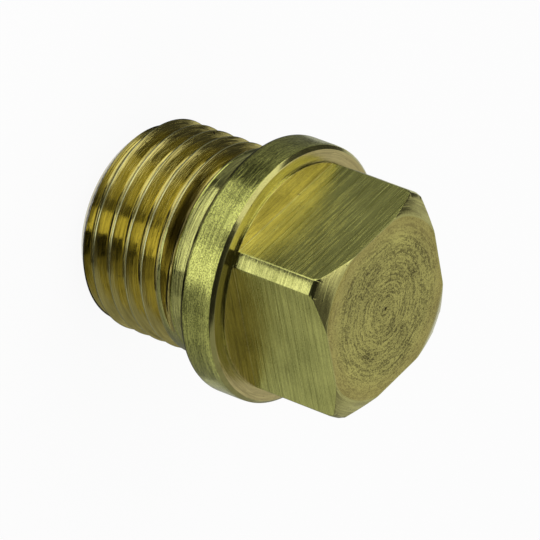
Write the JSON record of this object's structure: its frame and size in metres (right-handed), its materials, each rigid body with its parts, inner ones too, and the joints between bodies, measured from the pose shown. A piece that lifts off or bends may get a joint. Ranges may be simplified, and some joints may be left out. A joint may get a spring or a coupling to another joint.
{
  "type": "pipe plug",
  "caption": "Solid brass pipe plug with a parallel-threaded shank, a sealing collar and a square spanner head chamfered at its end.",
  "frame": {"origin": "centre of the collar's sealing face, on the turning axis", "axes": "+Z along the turning axis from the thread towards the head, +X and +Y square to the spanner flats"},
  "size_m": [0.012, 0.012, 0.0139],
  "materials": {
    "brass": "turned and milled, uncoated, with fine tool marks"
  },
  "bodies": {
    "root": {"plug_body": "brass"}
  },
  "joints": []
}
